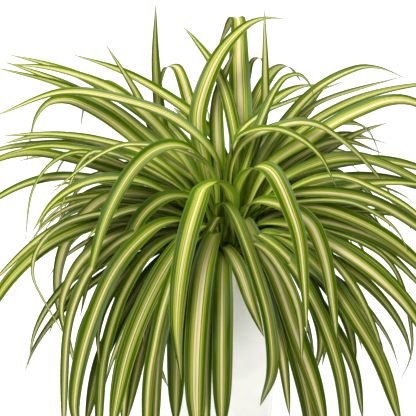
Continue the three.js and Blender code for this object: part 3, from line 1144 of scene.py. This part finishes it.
@dataclass
class SoilBed:
    """Potting mix that fills the pot to just under its rim, with loose crumbs on top. In mm."""

    foot: float = 8.3
    foot_radius: float = 61.3
    top_radius: float = 81.9
    level: float = 265.0
    turns: int = 120
    ring_gap: float = 3.0
    unevenness: float = 1.3
    unevenness_scale: float = 160.0
    crumbs: int = 460
    crumb_size: Span = (0.8, 2.4)
    seed: int = 8

    def build(self) -> None:
        """Builds and dresses the soil."""
        shape = bmesh.new()
        self.add_bed(shape)
        self.add_crumbs(shape)
        finish_piece("potting_soil", shape, [PottingMix().material()], ["soil"])

    def add_bed(self, shape: BMesh) -> None:
        """Adds the filled bed, its top a little uneven.

        Args:
            shape: where to add it.
        """
        rings = round(self.top_radius / self.ring_gap)
        outline = [(0, self.foot), (self.foot_radius, self.foot)]
        outline += [(self.top_radius * ring / rings, self.level) for ring in range(rings, -1, -1)]
        spin_outline(shape, outline, self.turns)
        for vertex in shape.verts:
            if vertex.co.z > (self.level - 1) * MM:
                vertex.co.z += noise.noise(vertex.co * self.unevenness_scale) * self.unevenness * MM

    def add_crumbs(self, shape: BMesh) -> None:
        """Scatters crumbs over the top.

        Args:
            shape: where to add them.
        """
        chance = random.Random(self.seed)
        for _ in range(self.crumbs):
            size = chance.uniform(*self.crumb_size) ** 1.2 * MM
            reach = math.sqrt(chance.uniform(0.25, 1)) * (self.top_radius - 3)
            angle = chance.uniform(0, math.tau)
            turn = Matrix.Rotation(angle, 4, Vector((chance.random(), 1, chance.random())))
            flat = Matrix.Diagonal((1, chance.uniform(0.6, 1), chance.uniform(0.5, 0.9), 1))
            spot = around(chance.uniform(0, 360), reach, chance.uniform(-1.4, -0.2))
            placed = Matrix.Translation(spot) @ turn @ flat
            bmesh.ops.create_icosphere(shape, subdivisions=1, radius=size, matrix=placed)


def spin_outline(shape: BMesh, outline: Sequence[Span], turns: int) -> None:
    """Turns an outline that starts and ends on the axis into a closed shape.

    Args:
        shape: where to add it.
        outline: radius and height pairs in mm.
        turns: how many steps go round.
    """
    vertices = [shape.verts.new((radius * MM, 0, height * MM)) for radius, height in outline]
    line = [*vertices, *(shape.edges.new(pair) for pair in zip(vertices, vertices[1:], strict=False))]
    bmesh.ops.spin(
        shape, geom=line, cent=(0, 0, 0), axis=(0, 0, 1), angle=math.tau, steps=turns, use_merge=True
    )
    bmesh.ops.remove_doubles(shape, verts=shape.verts[:], dist=MERGE_WITHIN)
    bmesh.ops.recalc_face_normals(shape, faces=shape.faces[:])


@dataclass
class Planter:
    """The plain tapered pot with a rolled rim band. In mm."""

    height: float = 280.0
    rim_radius: float = 90.0
    base_radius: float = 66.0
    wall: float = 5.0
    floor: float = 8.0
    band_height: float = 16.0
    band_step: float = 2.5
    rim_round: float = 2.4
    base_round: float = 4.0
    lip_round: float = 1.5
    turns: int = 144
    wall_rings: int = 10

    def radius_at(self, height: float) -> float:
        """The outside radius at a height, without the rim band."""
        top = self.rim_radius - self.band_step
        return self.base_radius + (top - self.base_radius) * height / self.height

    def outline(self) -> list[Span]:
        """The pot's section: underside, outside wall, rim band, inside wall and inside floor."""
        foot = self.height - self.band_height
        rings = range(1, self.wall_rings + 1)
        heights = [self.base_round + (foot - self.base_round) * ring / self.wall_rings for ring in rings]
        inner_rim = self.radius_at(self.height) - self.wall
        inner_floor = self.radius_at(self.floor) - self.wall
        return [
            (0, 0),
            *self.quarter(self.base_radius - self.base_round, self.base_round, self.base_round, -90),
            *((self.radius_at(height), height) for height in heights),
            (self.rim_radius - 0.4, foot + self.band_step * 0.8),
            (self.rim_radius, foot + self.band_step * 1.4),
            *self.quarter(self.rim_radius - self.rim_round, self.height - self.rim_round, self.rim_round, 0),
            *self.quarter(inner_rim + self.lip_round, self.height - self.lip_round, self.lip_round, 90),
            (inner_floor, self.floor),
            (0, self.floor),
        ]

    @staticmethod
    def quarter(x: float, z: float, radius: float, start: float, steps: int = 6) -> list[Span]:
        """Points on a quarter round about a centre, from an angle in degrees on."""
        angles = [math.radians(start + 90 * step / steps) for step in range(steps + 1)]
        return [(x + radius * math.cos(angle), z + radius * math.sin(angle)) for angle in angles]

    def build(self) -> None:
        """Builds and dresses the pot."""
        shape = bmesh.new()
        spin_outline(shape, self.outline(), self.turns)
        finish_piece("glazed_pot", shape, [WhiteGlaze().material()], ["pot"])


@dataclass
class Studio:
    """A plain pale floor, soft light from all round and the camera. In metres and degrees."""

    floor_half: float = 12.0
    world_strength: float = 0.55
    camera_at: tuple[float, float, float] = (-0.0208, -1.2776, 0.8411)
    camera_down: float = 22.0
    lens: float = 93.2
    sensor: float = 36.0
    softboxes: tuple[tuple[tuple[float, float, float], float, float], ...] = (
        ((-1.2, -1.5, 2.4), 1.3, 74.0),
        ((0.3, 1.0, 2.5), 1.6, 32.0),
    )
    aim: tuple[float, float, float] = (0.0, 0.0, 0.33)

    def build(self) -> None:
        """Builds the floor, the lights and the camera."""
        self.add_floor()
        self.add_world()
        for number, (spot, size, power) in enumerate(self.softboxes, 1):
            self.add_softbox(f"softbox_{number}", spot, size, power)
        self.add_camera()

    def add_floor(self) -> None:
        """Adds the floor."""
        shape = bmesh.new()
        bmesh.ops.create_grid(shape, x_segments=2, y_segments=2, size=self.floor_half)
        mesh = mesh_of("floor", shape)
        mesh.materials.append(PaleFloor().material())
        floor = stand("floor", mesh)

    def add_world(self) -> None:
        """Adds even white light from all round and a plain reading of colours."""
        world = bpy.data.worlds.new("studio")
        world.use_nodes = True
        backdrop = world.node_tree.nodes["Background"]
        backdrop.inputs["Color"].default_value = (1, 1, 1, 1)
        backdrop.inputs["Strength"].default_value = self.world_strength
        bpy.context.scene.world = world
        bpy.context.scene.view_settings.view_transform = "Standard"

    def add_softbox(self, name: str, spot: Sequence[float], size: float, power: float) -> None:
        """Adds a square softbox that faces the plant.

        Args:
            name: its name.
            spot: where it hangs.
            size: the length of its sides.
            power: its power in watts.
        """
        light = bpy.data.lights.new(name, "AREA")
        light.size = size
        light.energy = power
        box = stand(name, light)
        box.location = spot
        box.rotation_euler = (Vector(spot) - Vector(self.aim)).to_track_quat("Z", "Y").to_euler()

    def add_camera(self) -> None:
        """Adds the camera at the photograph's viewing angle."""
        view = bpy.data.cameras.new("camera")
        view.lens = self.lens
        view.sensor_width = self.sensor
        camera = stand("camera", view)
        camera.location = self.camera_at
        camera.rotation_euler = (math.radians(90 - self.camera_down), 0, 0)
        bpy.context.scene.camera = camera


def main() -> None:
    """Builds the studio, then the plant from the pot up."""
    Studio().build()
    Planter().build()
    SoilBed().build()
    Crown().build()
    Foliage().build()


if __name__ == "__main__":
    main()
